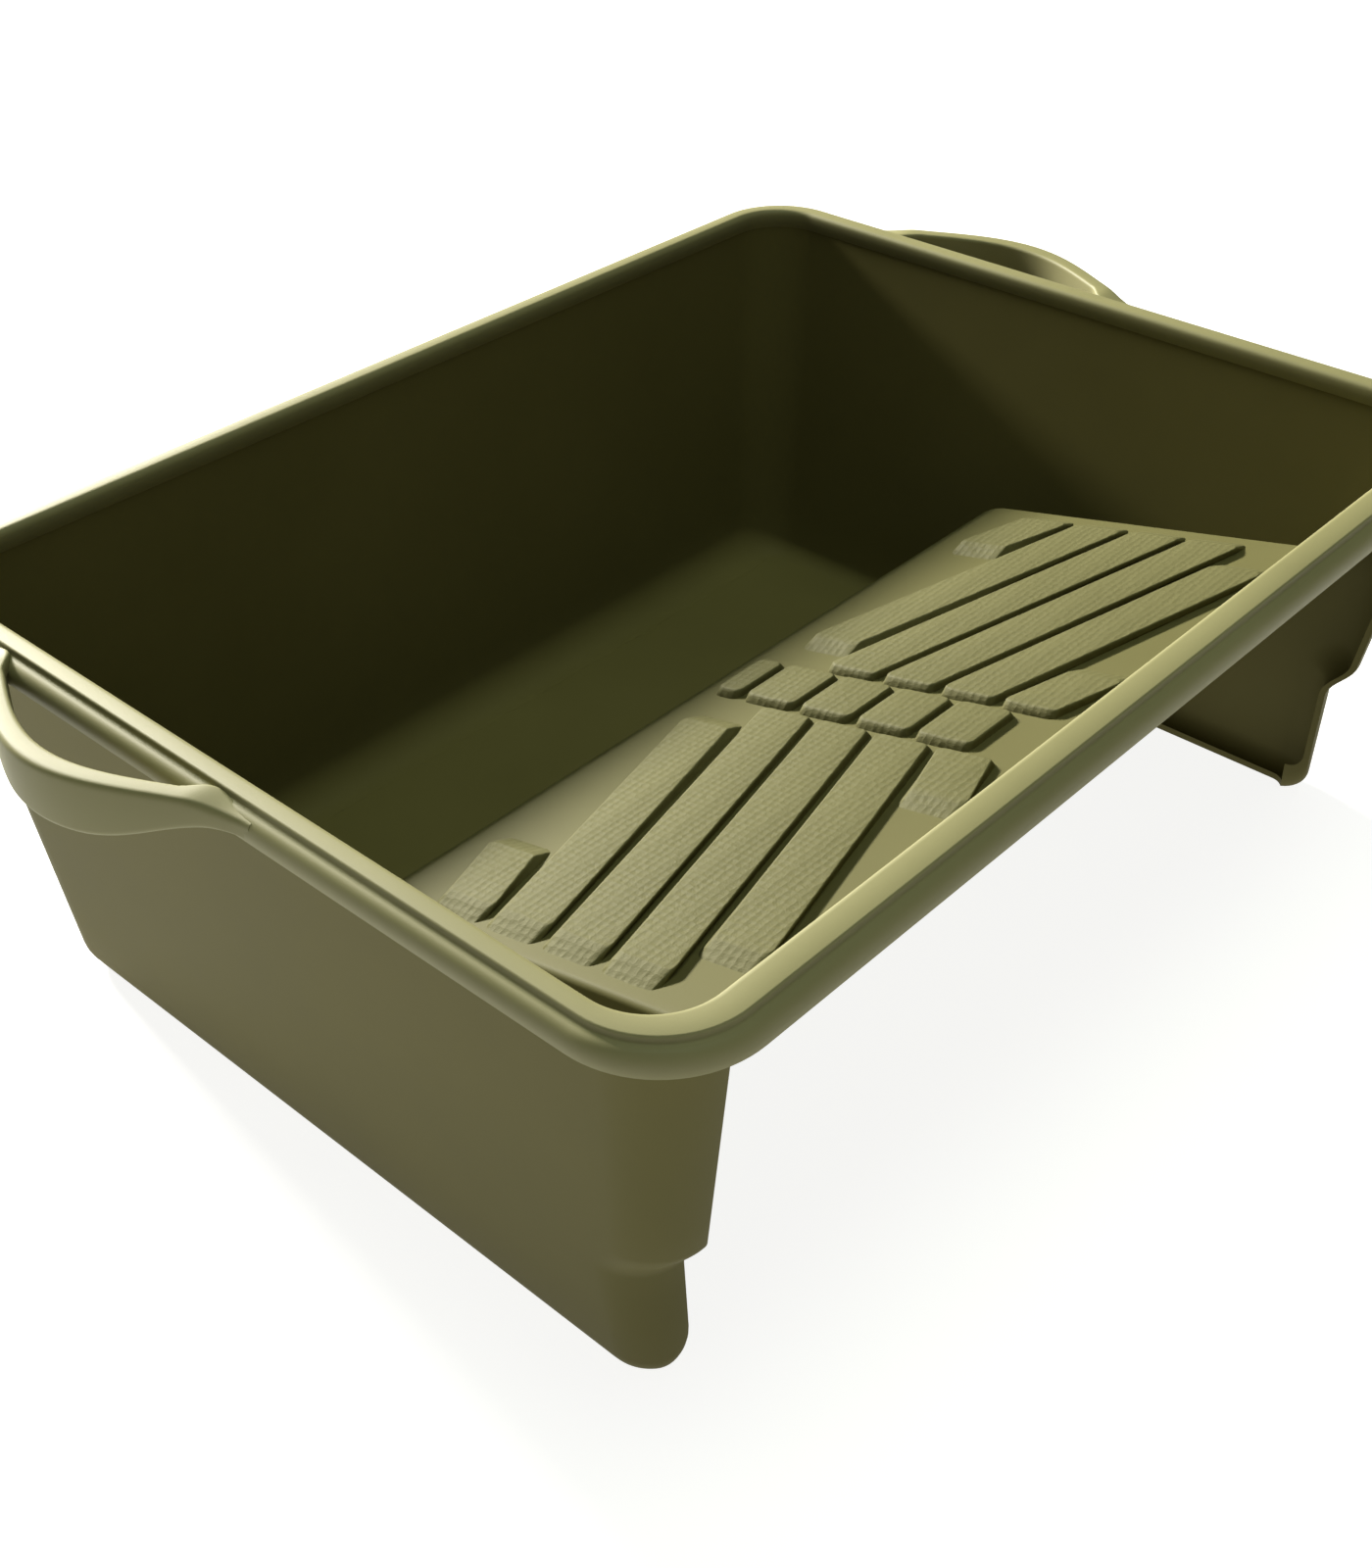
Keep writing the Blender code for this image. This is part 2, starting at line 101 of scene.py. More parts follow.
# Plastic: dark and light colour, roughness, strength of the grain, shine
# All four are tones of one olive plastic. The rim and grips copy is painted lighter, as painted light
# on the top faces. The ramp and rib copies are painted darker, as painted shade. The shell copy is the
# plain tone.
PLASTICS = {
    "olive_shell": ((0.106, 0.095, 0.032), (0.122, 0.109, 0.038), 0.56, 0.12, 0.05),
    "olive_ramp_painted_shade": ((0.078, 0.073, 0.026), (0.089, 0.083, 0.031), 0.60, 0.20, 0.08),
    "olive_ribs_painted_shade": ((0.082, 0.078, 0.031), (0.094, 0.089, 0.036), 0.64, 0.80, 0.08),
    "olive_rim_painted_light": ((0.175, 0.165, 0.074), (0.198, 0.187, 0.086), 0.56, 0.12, 0.18),
}
STIPPLED = ("olive_ribs_painted_shade",)
DRIFT_SCALE, DRIFT_DETAIL, DRIFT_ENDS = 9.0, 5.0, (0.30, 0.70)
ROUGHNESS_SPREAD = (-0.05, 0.06)
GRAIN_SCALE, GRAIN_DETAIL, GRAIN_DEPTH = 1400.0, 2.0, 0.0002
DOT_SCALE, DOT_RANDOMNESS, DOT_HEIGHT = 285.0, 0.25, 2.5  # height in depths of the grain

# Camera, fitted to the rim, legs and well
CAMERA_AT = (-0.53144, -0.45849, 0.57284)
CAMERA_YAW, CAMERA_ELEVATION, CAMERA_ROLL = -47.40, 36.78, -0.71
SENSOR = 36
LENS = 1993.8 * SENSOR / 1600
CLIP_START = 0.01

# Studio: angles in degrees, powers in watts
KEY_TURN, KEY_LIFT, KEY_DISTANCE, KEY_POWER = 9, 25, 3, 400
KEY_AIM, KEY_SIZE, KEY_COLOUR = (0, 0, 0.15), (1.0, 0.32), (1.0, 0.97, 0.88)
TOP_AT, TOP_AIM, TOP_POWER = (0.1, -0.2, 3.0), (0, 0, 0.1), 36
TOP_SIZE, TOP_COLOUR = (1.5, 1.5), (0.88, 1.0, 0.80)
SKY_LOW, SKY_HIGH = 0.15, 0.10
FLOOR_SIZE, FLOOR_Z = 30, -0.0002
FLOOR_COLOUR, FLOOR_ROUGHNESS, FLOOR_SHINE = (0.36, 0.36, 0.355), 0.9, 0.2
FLOOR_GLOW, FLOOR_GLOW_COLOUR = 0.88, (1.0, 1.0, 0.99)


def blend(a, b, t):
    return a + (b - a) * t


def smooth(t):
    t = min(max(t, 0.0), 1.0)
    return t * t * (3 - 2 * t)


def steps(first, last, count):
    return [blend(first, last, i / count) for i in range(count + 1)]


def quarter_turn(count, first=0, last=math.pi / 2):
    """Points of a quarter circle as shares of its radius: (across, up)."""
    return [(1 - math.cos(turn), math.sin(turn)) for turn in steps(first, last, count)]


# ---------------------------------------------------------------- meshes


def new_object(name, points, faces, sharp_angle=40):
    mesh = bpy.data.meshes.new(name)
    mesh.from_pydata([tuple(p) for p in points], [], faces)
    mesh.validate()
    mesh.shade_smooth()
    mesh.set_sharp_from_angle(angle=math.radians(sharp_angle))
    obj = bpy.data.objects.new(name, mesh)
    bpy.context.scene.collection.objects.link(obj)
    return obj


def face_out(obj):
    """Turns a closed mesh's faces outwards."""
    builder = bmesh.new()
    builder.from_mesh(obj.data)
    bmesh.ops.recalc_face_normals(builder, faces=builder.faces)
    builder.to_mesh(obj.data)
    builder.free()
    return obj


def loft(name, sections, closed=False, sharp_angle=40):
    """A mesh through loops of equal length: a ring if closed, otherwise capped at both ends."""
    count, rows = len(sections[0]), len(sections)
    points = [p for loop in sections for p in loop]
    faces = []
    for i in range(rows if closed else rows - 1):
        k = (i + 1) % rows
        for j in range(count):
            n = (j + 1) % count
            faces.append((i * count + j, i * count + n, k * count + n, k * count + j))
    if not closed:
        faces.append(tuple(range(count))[::-1])
        faces.append(tuple((rows - 1) * count + j for j in range(count)))
    return face_out(new_object(name, points, faces, sharp_angle))


# ---------------------------------------------------------------- walls


def wall_plan(z, inset=0.0, with_foot=True):
    """The walls' outside at z: (half width, front, back, front corner radius, back corner radius)."""
    t = z / DRAFT_TOP
    front = blend(*FRONT, t)
    if with_foot:
        front = blend(front, FOOT_FRONT, smooth((FOOT_TOP - z) / FOOT_STEP + 0.5))
    return (
        blend(*SIDE, t) - inset,
        front - inset,
        blend(*BACK, t) - inset,
        max(blend(*FRONT_CORNER, t) - inset, SMALLEST_CORNER),
        max(blend(*BACK_CORNER, t) - inset, SMALLEST_CORNER),
    )


def plan_point(station, plan):
    """A station's (x, y) on the rounded rectangle that plan describes.

    A station is (kind, side, end, value). On an arc, value runs from 0, facing the end, to 1,
    facing the side. On a straight side it is y, and on a straight end it is x."""
    kind, side, end, value = station
    half, front, back, front_radius, back_radius = plan
    reach, radius = (back, back_radius) if end > 0 else (front, front_radius)
    if kind == "arc":
        turn = value * math.pi / 2
        return (
            side * (half - radius + radius * math.sin(turn)),
            end * (reach - radius + radius * math.cos(turn)),
        )
    return (side * half, value) if kind == "side" else (value, end * reach)


def floor_fillet(station):
    """Outer radius of the bend from the wall to the floor: wide at the back, narrow at the sides."""
    kind, _, end, value = station
    if kind == "end":
        return BACK_FILLET
    if kind == "arc" and end > 0:
        return blend(BACK_FILLET, SIDE_FILLET, smooth(value))
    return SIDE_FILLET


def foot_lift(station):
    """How far the rounding of the foot's free corner raises its bottom edge."""
    kind, _, end, value = station
    along = value * FRONT_CORNER[0] * math.pi / 2
    if kind != "arc" or end > 0 or along >= FOOT_ROUND:
        return 0.0
    return FOOT_ROUND - math.sqrt(FOOT_ROUND**2 - (FOOT_ROUND - along) ** 2)


def wall_section(station):
    """Loop down the wall's outside, round its bottom bend and back up the inside."""
    radius, lift = floor_fillet(station), foot_lift(station)
    inner_radius = radius - WALL
    foot_levels = steps(FOOT_TOP + FOOT_STEP / 2, FOOT_TOP - FOOT_STEP / 2, 12)
    levels = [*WALL_LEVELS_HIGH, *foot_levels, *WALL_LEVELS_LOW]

    def at(z, inset):
        return Vector((*plan_point(station, wall_plan(z, inset)), z))

    outside = [at(z, 0) for z in levels]
    inside = [at(z, WALL) for z in levels]
    for move, down in quarter_turn(9):
        rise = 1 - down
        outside.append(at(lift + radius * rise, radius * move))
        inside.append(at(lift + WALL + inner_radius * rise, WALL + inner_radius * move))
    return outside + inside[::-1]


def wall_stations():
    """Stations from the front left corner, round by the back, to the front right corner."""
    front_turns = [t**FRONT_CORNER_CROWDING for t in steps(0, 1, 26)]
    front_left = [("arc", -1, -1, t) for t in front_turns]
    left = [("side", -1, 0, y) for y in steps(*SIDE_RUN, 10)]
    back_left = [("arc", -1, 1, t) for t in steps(1, 0, 20)]
    back = [("end", 0, 1, x) for x in steps(*BACK_RUN, 10)]
    back_right = [("arc", 1, 1, t) for t in steps(0, 1, 20)]
    right = [("side", 1, 0, y) for y in steps(*SIDE_RUN[::-1], 10)]
    front_right = [("arc", 1, -1, t) for t in front_turns[::-1]]
    return front_left + left + back_left + back + back_right + right + front_right


def make_walls():
    return loft("tray_walls", [wall_section(s) for s in wall_stations()])


def make_well_floor():
    """The flat plate inside the walls' bottom bend, running under the foot of the riser."""
    loop = []
    for side in (1, -1):
        arc = steps(0, 1, 20)
        for t in arc[::-1] if side > 0 else arc:
            station = ("arc", side, 1, t)
            x, y = plan_point(station, wall_plan(0, floor_fillet(station) - SEAM_LAP))
            loop.append((x, y))
    half = SIDE[0] - SIDE_FILLET + SEAM_LAP
    loop = [(half, RISER_FOOT_Y - WALL)] + loop + [(-half, RISER_FOOT_Y - WALL)]
    levels = (FLOOR_INSET, WALL - FLOOR_INSET)
    return loft("well_bottom", [[Vector((x, y, z)) for x, y in loop] for z in levels])


# ---------------------------------------------------------------- ramp


def arc_points(corner, before, after, radius, count):
    """A fillet's points at a corner of a polyline, from the side of before to the side of after."""
    corner, before, after = Vector(corner), Vector(before), Vector(after)
    a, b = (before - corner).normalized(), (after - corner).normalized()
    half_angle = a.angle(b) / 2
    reach = radius / math.tan(half_angle)
    middle = corner + (a + b).normalized() * (radius / math.sin(half_angle))
    start, end = corner + a * reach - middle, corner + b * reach - middle
    sweep = start.angle(end)
    points = []
    for t in steps(0, 1, count):
        point = (start * math.sin((1 - t) * sweep) + end * math.sin(t * sweep)) / math.sin(sweep)
        points.append(middle + point)
    return points


def ramp_top(y):
    return RAMP_HEIGHT - RAMP_SLOPE * y


def crest_lean():
    """How far the riser runs back for each metre that it falls."""
    return (RISER_FOOT_Y - CREST_Y) / (ramp_top(CREST_Y) - WALL)


def ramp_path(depth):
    """(y, z) points down the front wall, along the ramp at a depth below its top, to the well."""
    top = (FRONT_TOP_Y - SEAM_LAP, FRONT_TOP_Z + SEAM_LAP * FRONT_SLOPE)
    along = FRONT_TOP_Z - RAMP_HEIGHT + depth
    front_y = (FRONT_TOP_Y + along / FRONT_SLOPE) / (1 - RAMP_SLOPE / FRONT_SLOPE)
    front = (front_y, ramp_top(front_y) - depth)
    crest = (CREST_Y + depth * crest_lean(), ramp_top(CREST_Y) - depth)
    foot = (RISER_FOOT_Y, WALL)
    end = (RISER_FOOT_Y + 0.02, WALL)
    path = [blend(Vector(top), Vector(front), t) for t in (0, 0.35, 0.7)]
    path += arc_points(front, top, crest, FRONT_FILLET, 6)
    ramp_start = path[-1]
    crest_arc = arc_points(crest, front, foot, CREST_ROUND, 14)
    path += [blend(ramp_start, crest_arc[0], t) for t in steps(0, 1, 6)[1:-1]]
    path += crest_arc
    foot_arc = arc_points(foot, crest, end, RISER_FILLET, 8)
    path += [blend(crest_arc[-1], foot_arc[0], t) for t in (0.33, 0.67)]
    return path + foot_arc


def ramp_columns():
    """(x, depth, share) across one half, from the middle out.

    Share is how far the point moves on from x to the side wall: it is above 0 in the trough's flat."""
    lean = math.atan2(TROUGH_DRAFT, TROUGH_DROP)
    edge, foot = (DECK_HALF_WIDTH, 0), (DECK_HALF_WIDTH + TROUGH_DRAFT, TROUGH_DROP)
    columns = [(x, 0.0, 0.0) for x in steps(0, DECK_HALF_WIDTH - 0.006, 8)]
    columns += [(p.x, p.y, 0.0) for p in arc_points(edge, (0, 0), foot, DECK_EDGE_ROUND, 6)]
    bottom = arc_points(foot, edge, (0.3, TROUGH_DROP), TROUGH_FILLET, 6)
    columns += [(p.x, p.y, 0.0) for p in bottom]
    columns += [(bottom[-1].x, TROUGH_DROP, share) for share in (0.5, 1.0)]
    return columns


def inner_wall_x(y, z):
    """Half the width between the walls' insides at y and z."""
    half, front, _, radius, _ = wall_plan(z, WALL, with_foot=False)
    if z < SIDE_FILLET:
        bend = SIDE_FILLET - WALL
        half -= bend - math.sqrt(bend**2 - min(SIDE_FILLET - z, bend) ** 2)
    past = abs(y) - (front - radius)
    if y > 0 or past < 0:
        return half
    return half - radius + math.sqrt(max(radius**2 - past**2, 0.0))


def ramp_surface():
    """Grid of the ramp's upper surface: one column of points per place across, front to back."""
    half = ramp_columns()
    columns = [(-1, *column) for column in half[:0:-1]] + [(1, *column) for column in half]
    paths = {}
    grid = []
    for side, x, depth, share in columns:
        key = round(depth, 7)
        if key not in paths:
            paths[key] = ramp_path(depth)
        column = []
        for y, z in paths[key]:
            wall = inner_wall_x(y, z) + WALL_LAP
            column.append((side * min(blend(x, wall, share), wall), y, z))
        grid.append(column)
    return np.array(grid)


def surface_normals(grid):
    """Upward normal at each point of a grid."""
    normals = np.cross(np.gradient(grid, axis=0), np.gradient(grid, axis=1))
    normals /= np.linalg.norm(normals, axis=2, keepdims=True)
    return normals * np.where(normals[..., 2:] < 0, -1.0, 1.0)


def plate_faces(rows, cols):
    """Faces of a plate whose upper grid of points is followed by its lower one."""
    faces = []
    shift = rows * cols
    for i in range(rows - 1):
        for j in range(cols - 1):
            a, b = i * cols + j, (i + 1) * cols + j
            c, d = b + 1, a + 1
            faces.append((a, b, c, d))
            faces.append((a + shift, d + shift, c + shift, b + shift))
    border = [i * cols for i in range(rows)] + [(rows - 1) * cols + j for j in range(1, cols)]
    border += [i * cols + cols - 1 for i in range(rows - 2, -1, -1)]
    border += [j for j in range(cols - 2, 0, -1)]
    for a, b in zip(border, border[1:] + border[:1]):
        faces.append((a, b, b + shift, a + shift))
    return faces


def make_ramp():
    top = ramp_surface()
    under = top - surface_normals(top) * WALL * UNDERSIDE_SHARE
    points = np.concatenate([top.reshape(-1, 3), under.reshape(-1, 3)])
    faces = plate_faces(top.shape[0], top.shape[1])
    return face_out(new_object("ramp_moulding", points.tolist(), faces, 50))


# ---------------------------------------------------------------- ribs


def rounded_quad(corners, inset, radius):
    """Loop of a quadrilateral with its sides moved in and its corners rounded."""
    count = len(corners)
    sides = []
    for i in range(count):
        a, b = Vector(corners[i]), Vector(corners[(i + 1) % count])
        along = (b - a).normalized()
        normal = Vector((-along.y, along.x))
        sides.append((a + normal * inset, along))
    moved = []
    for i in range(count):
        (p, d), (q, e) = sides[i - 1], sides[i]
        t = ((q - p).cross(e)) / d.cross(e)
        moved.append(p + d * t)
    loop = []
    corner = max(radius - inset, RIB_LEAST_CORNER)
    for i in range(count):
        loop += arc_points(moved[i], moved[i - 1], moved[(i + 1) % count], corner, 4)
    return loop


def make_rib(name, corners, runs):
    """A bar with drafted sides, softened edges and sloping ends, standing on the ramp's plane."""
    profile = [(0, -SEAM_LAP), (0, 0.0), (RIB_DRAFT, RIB_HEIGHT - RIB_ROUND)]
    for move, rise in quarter_turn(5)[1:]:
        profile.append((RIB_DRAFT + RIB_ROUND * move, RIB_HEIGHT - RIB_ROUND * (1 - rise)))
    ends = sorted({x for x, _ in corners})
    sections = []
    for inset, up in profile:
        share = max(up, 0) / RIB_HEIGHT
        loop = rounded_quad(corners, inset, RIB_CORNER)
        section = []
        for p in loop:
            along = (p.x - ends[0]) / (ends[-1] - ends[0])
            x = p.x + share * blend(runs[0], -runs[1], along)
            section.append(Vector((x, p.y, ramp_top(p.y) + up)))
        sections.append(section)
    return loft(name, sections, sharp_angle=60)


def make_ribs():
    """(piece, the node it replaces) for the slanting rows on both sides and the short middle ribs."""
    ribs = []
    for i in range(RIB_ROWS):
        front = FIRST_RIB_Y - RIB_PITCH * i
        inner = max(RIB_INNER_X, RIB_INNER_X + (front + RIB_WIDTH - LAST_RIB_Y) / RIB_SLOPE)
        outer = min(RIB_OUTER_X, RIB_INNER_X + (front - RIB_FRONT_Y) / RIB_SLOPE)
        low = [front - RIB_SLOPE * (x - RIB_INNER_X) for x in (inner, outer)]
        for side, word in ((-1, "left"), (1, "right")):
            corners = [(side * inner, low[0]), (side * outer, low[1])]
            corners += [(side * outer, low[1] + RIB_WIDTH), (side * inner, low[0] + RIB_WIDTH)]
            runs = (RIB_INNER_RUN if inner == RIB_INNER_X else RIB_OUTER_RUN, RIB_OUTER_RUN)
            if side < 0:
                corners, runs = corners[::-1], runs[::-1]
            node = f"rib_{word}_{i + 1}"
            ribs.append((make_rib(f"moulded_{node}", corners, runs), node))
        middle = front - RIB_PITCH / 2
        if middle > RIB_FRONT_Y:
            x, top = CENTRE_RIB_HALF, min(middle + RIB_WIDTH, CREST_START_Y)
            corners = [(-x, middle), (x, middle), (x, top), (-x, top)]
            runs = (RIB_INNER_RUN, RIB_INNER_RUN)
            node = f"rib_middle_{i + 1}"
            ribs.append((make_rib(f"moulded_{node}", corners, runs), node))
    return ribs


# ---------------------------------------------------------------- rim and grips


def rim_section(station):
    """Loop from the lip's bottom over the rim to its inner edge, and back underneath."""

    def from_outer(inset, z):
        return Vector((*plan_point(station, tuple(v - inset for v in RIM_OUTER)), z))

    def from_inner(inset, z):
        return Vector((*plan_point(station, tuple(v - inset for v in RIM_INNER)), z))

    def from_wall(inset, z):
        return Vector((*plan_point(station, wall_plan(z, inset)), z))

    lip_high = LIP_SIDE[-1][1]
    section = [from_outer(*point) for point in LIP_SIDE]
    for move, rise in quarter_turn(8)[1:]:
        section.append(from_outer(LIP_ROLL_IN * move, lip_high + LIP_ROLL_UP * rise))
    section += [from_outer(*point) for point in LEDGE]
    for move, rise in quarter_turn(4):
        section.append(from_outer(STEP_INSET + STEP_ROUND * move, STEP_HIGH + STEP_ROUND * rise))
    for move, rise in quarter_turn(5, math.pi / 2, 0):
        section.append(from_inner(-INNER_ROUND * move, INNER_HIGH + INNER_ROUND * rise))
    section.append(from_inner(*INNER_LOW))
    section += [from_wall(*point) for point in UNDER_WALL_TOP]
    section += [from_outer(*point) for point in UNDER_LIP]
    return section


def make_rim():
    stations = []
    for side, end in ((-1, -1), (-1, 1), (1, 1), (1, -1)):
        arc = [("arc", side, end, t) for t in steps(0, 1, 20)]
        stations += arc if side * end > 0 else arc[::-1]
    return loft("rim_band", [rim_section(s) for s in stations], closed=True, sharp_angle=50)


def grip_reach(y):
    """How far the bowed bar stands out from the lip at y."""
    u = (y - GRIP_MIDDLE_Y) / GRIP_HALF_LENGTH
    return GRIP_REACH * (0.5 + 0.5 * math.cos(math.pi * u)) ** 0.8


def round_corner(before, corner, after, radius):
    """Points of a softened corner in a section, kept within a little less than half of each side."""
    longest = 0.45 * min((corner - before).length, (corner - after).length)
    reach = min(radius, longest)
    start = corner + (before - corner).normalized() * reach
    end = corner + (after - corner).normalized() * reach
    return [start * (1 - t) ** 2 + corner * 2 * t * (1 - t) + end * t * t for t in steps(0, 1, 5)]


def grip_corners(y):
    """Six (x, z) corners of the bar's section at y, from its inner bottom edge round by the top."""
    reach = grip_reach(y)
    outside = GRIP_SKIN_X + reach
    inside = max(GRIP_BASE_X, outside - GRIP_BAR)
    web = smooth((GRIP_BAR + GRIP_WEB * 0.5 - reach) / GRIP_WEB)
    upper_inside = blend(inside, GRIP_STEP_X, web)
    high = blend(GRIP_END_TOP, GRIP_TOP, smooth(reach / GRIP_BAR))
    low = blend(GRIP_END_BOTTOM, GRIP_BOTTOM, smooth(reach / GRIP_REACH))
    corners = [(inside, low), (inside, GRIP_LEDGE), (upper_inside, GRIP_LEDGE + 0.0003)]
    corners += [(upper_inside, high), (outside, high), (outside, low)]
    return [Vector(corner) for corner in corners]


def make_grip(side, word):
    """A bowed bar, webbed to the rim's upper edge at both ends, that sinks into the lip."""
    sections = []
    for u in steps(-GRIP_END_SHARE, GRIP_END_SHARE, 96):
        y = GRIP_MIDDLE_Y + GRIP_HALF_LENGTH * u
        corners = grip_corners(y)
        loop = []
        for i, corner in enumerate(corners):
            if i in (1, 2):
                loop.append(corner)
            else:
                loop += round_corner(corners[i - 1], corner, corners[(i + 1) % 6], GRIP_ROUND)
        sections.append([Vector((side * p.x, y, p.y)) for p in loop])
    return loft(f"{word}_handle", sections, sharp_angle=50)


# ---------------------------------------------------------------- materials


def noise(nodes, links, place, scale, detail):
    node = nodes.new("ShaderNodeTexNoise")
    node.inputs["Scale"].default_value = scale
    node.inputs["Detail"].default_value = detail
    links.new(place.outputs["Object"], node.inputs["Vector"])
    return node.outputs["Fac"]


def stipple(nodes, links, place, grain):
    """Height of a fine dimpled stipple, about one dot every 3.5 mm, over the plastic's grain."""
    dots = nodes.new("ShaderNodeTexVoronoi")
    dots.inputs["Scale"].default_value = DOT_SCALE
    dots.inputs["Randomness"].default_value = DOT_RANDOMNESS
    mix = nodes.new("ShaderNodeMath")
    mix.operation = "MULTIPLY_ADD"
    mix.inputs[1].default_value = DOT_HEIGHT
    links.new(place.outputs["Object"], dots.inputs["Vector"])
    links.new(dots.outputs["Distance"], mix.inputs[0])
    links.new(grain, mix.inputs[2])
    return mix.outputs["Value"]


def moulded_plastic(name, dark, light, roughness, grain_strength, shine):
    """Satin moulded plastic: slow drift in colour and gloss, fine grain, stippled on the ribs."""
    material = bpy.data.materials.new(name)
    material.use_nodes = True
    nodes, links = material.node_tree.nodes, material.node_tree.links
    shader = nodes["Principled BSDF"]
    place = nodes.new("ShaderNodeTexCoord")
    drift = noise(nodes, links, place, DRIFT_SCALE, DRIFT_DETAIL)
    grain = noise(nodes, links, place, GRAIN_SCALE, GRAIN_DETAIL)

    tint = nodes.new("ShaderNodeValToRGB")
    for stop, position, colour in zip(tint.color_ramp.elements, DRIFT_ENDS, (dark, light)):
        stop.position = position
        stop.color = (*colour, 1)
    links.new(drift, tint.inputs["Fac"])
    links.new(tint.outputs["Color"], shader.inputs["Base Color"])

    gloss = nodes.new("ShaderNodeMapRange")
    gloss.inputs["To Min"].default_value = roughness + ROUGHNESS_SPREAD[0]
    gloss.inputs["To Max"].default_value = roughness + ROUGHNESS_SPREAD[1]
    links.new(drift, gloss.inputs["Value"])
    links.new(gloss.outputs["Result"], shader.inputs["Roughness"])

    bump = nodes.new("ShaderNodeBump")
    bump.inputs["Strength"].default_value = grain_strength
    bump.inputs["Distance"].default_value = GRAIN_DEPTH
    height = stipple(nodes, links, place, grain) if name in STIPPLED else grain
    links.new(height, bump.inputs["Height"])
    links.new(bump.outputs["Normal"], shader.inputs["Normal"])
    shader.inputs["Specular IOR Level"].default_value = shine
    return material


def wear(obj, material):
    obj.data.materials.clear()
    obj.data.materials.append(material)


# ---------------------------------------------------------------- studio


def make_floor():
    bpy.ops.mesh.primitive_plane_add(size=FLOOR_SIZE, location=(0, 0, FLOOR_Z))
    floor = bpy.context.object
    floor.name = "studio_floor"
    material = bpy.data.materials.new("studio_white")
    material.use_nodes = True
    shader = material.node_tree.nodes["Principled BSDF"]
    shader.inputs["Base Color"].default_value = (*FLOOR_COLOUR, 1)
    shader.inputs["Roughness"].default_value = FLOOR_ROUGHNESS
    shader.inputs["Specular IOR Level"].default_value = FLOOR_SHINE
    shader.inputs["Emission Color"].default_value = (*FLOOR_GLOW_COLOUR, 1)
    shader.inputs["Emission Strength"].default_value = FLOOR_GLOW
    wear(floor, material)


def area_light(name, at, target, size, power, colour):
    data = bpy.data.lights.new(name, "AREA")
    data.shape = "RECTANGLE"
    data.size, data.size_y = size
    data.energy = power
    data.color = colour
    light = bpy.data.objects.new(name, data)
    bpy.context.scene.collection.objects.link(light)
    light.location = at
    aim = Vector(target) - Vector(at)
    light.rotation_euler = aim.to_track_quat("-Z", "Y").to_euler()


def make_world():
    """Dim, even studio surroundings, a little darker straight overhead than at the horizon."""
    world = bpy.data.worlds.new("studio_world")
    bpy.context.scene.world = world
    world.use_nodes = True
    nodes, links = world.node_tree.nodes, world.node_tree.links
    place = nodes.new("ShaderNodeTexCoord")
    split = nodes.new("ShaderNodeSeparateXYZ")
    sky = nodes.new("ShaderNodeValToRGB")
    stops = sky.color_ramp.elements
    stops[0].position, stops[0].color = 0.0, (*[SKY_LOW] * 3, 1)
    stops[1].position, stops[1].color = 1.0, (*[SKY_HIGH] * 3, 1)
    links.new(place.outputs["Generated"], split.inputs["Vector"])
    links.new(split.outputs["Z"], sky.inputs["Fac"])
    links.new(sky.outputs["Color"], nodes["Background"].inputs["Color"])
    nodes["Background"].inputs["Strength"].default_value = 1.0


def make_studio():
    make_floor()
    make_world()
    turn, lift = math.radians(KEY_TURN), math.radians(KEY_LIFT)
    ahead = math.cos(lift)
    key_at = Vector((math.sin(turn) * ahead, math.cos(turn) * ahead, math.sin(lift))) * KEY_DISTANCE
    area_light("back_softbox", key_at, KEY_AIM, KEY_SIZE, KEY_POWER, KEY_COLOUR)
    area_light("top_softbox", TOP_AT, TOP_AIM, TOP_SIZE, TOP_POWER, TOP_COLOUR)
    bpy.context.scene.view_settings.view_transform = "Standard"


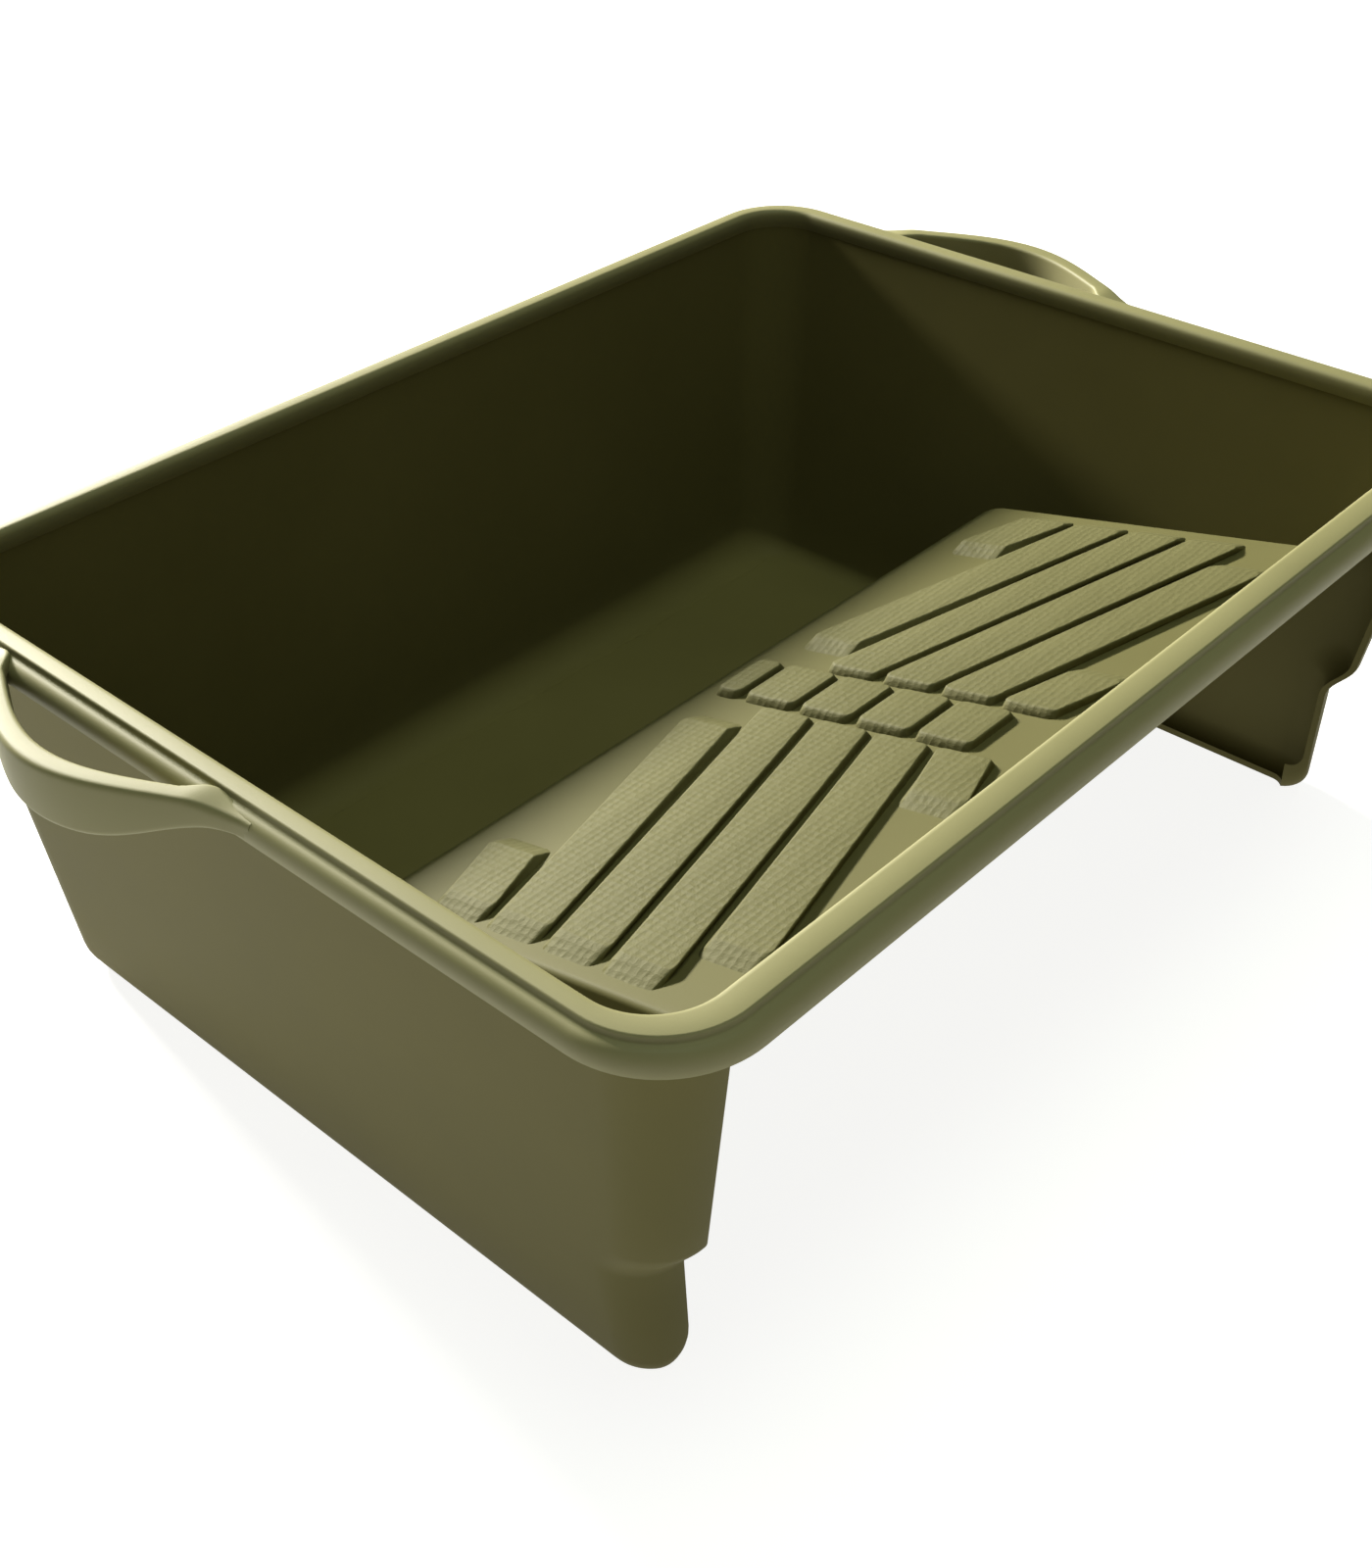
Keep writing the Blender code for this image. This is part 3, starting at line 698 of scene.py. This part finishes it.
def make_camera():
    data = bpy.data.cameras.new("photo_camera")
    data.sensor_fit = "AUTO"
    data.sensor_width = SENSOR
    data.lens = LENS
    data.clip_start = CLIP_START
    camera = bpy.data.objects.new("photo_camera", data)
    bpy.context.scene.collection.objects.link(camera)
    yaw, pitch, roll = (math.radians(v) for v in (CAMERA_YAW, CAMERA_ELEVATION, CAMERA_ROLL))
    level = math.cos(pitch)
    back = Vector((math.sin(yaw) * level, -math.cos(yaw) * level, math.sin(pitch)))
    right = Vector((math.cos(yaw), math.sin(yaw), 0))
    up = back.cross(right)
    image_right = right * math.cos(roll) + up * math.sin(roll)
    image_up = up * math.cos(roll) - right * math.sin(roll)
    turn = Matrix((image_right, image_up, back)).transposed().to_4x4()
    camera.matrix_world = Matrix.Translation(CAMERA_AT) @ turn
    bpy.context.scene.camera = camera


# ---------------------------------------------------------------- assembly

WALL_NODES = ["left_wall", "right_wall", "back_wall", "back_left_corner", "back_right_corner"]
WALL_NODES += ["front_left_leg", "front_right_leg"]
RAMP_NODES = ["ramp_deck", "left_trough", "right_trough", "well_riser", "front_wall"]
RIM_NODES = ["rim_front", "rim_back", "rim_left", "rim_right"]


def main():
    plastic = {name: moulded_plastic(name, *look) for name, look in PLASTICS.items()}
    # The rim and grips wear the copy painted lighter (painted light). The ramp and ribs wear the
    # copies painted darker (painted shade). The walls and well floor wear the plain tone.
    pieces = [
        (make_walls(), WALL_NODES, "olive_shell"),
        (make_well_floor(), ["well_floor"], "olive_shell"),
        (make_ramp(), RAMP_NODES, "olive_ramp_painted_shade"),
        (make_rim(), RIM_NODES, "olive_rim_painted_light"),
        (make_grip(-1, "left"), ["left_grip"], "olive_rim_painted_light"),
        (make_grip(1, "right"), ["right_grip"], "olive_rim_painted_light"),
    ]
    pieces += [(rib, [node], "olive_ribs_painted_shade") for rib, node in make_ribs()]
    for piece, nodes, look in pieces:
        wear(piece, plastic[look])
        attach(piece, "root")
        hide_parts(*nodes)
    make_studio()
    make_camera()


main()
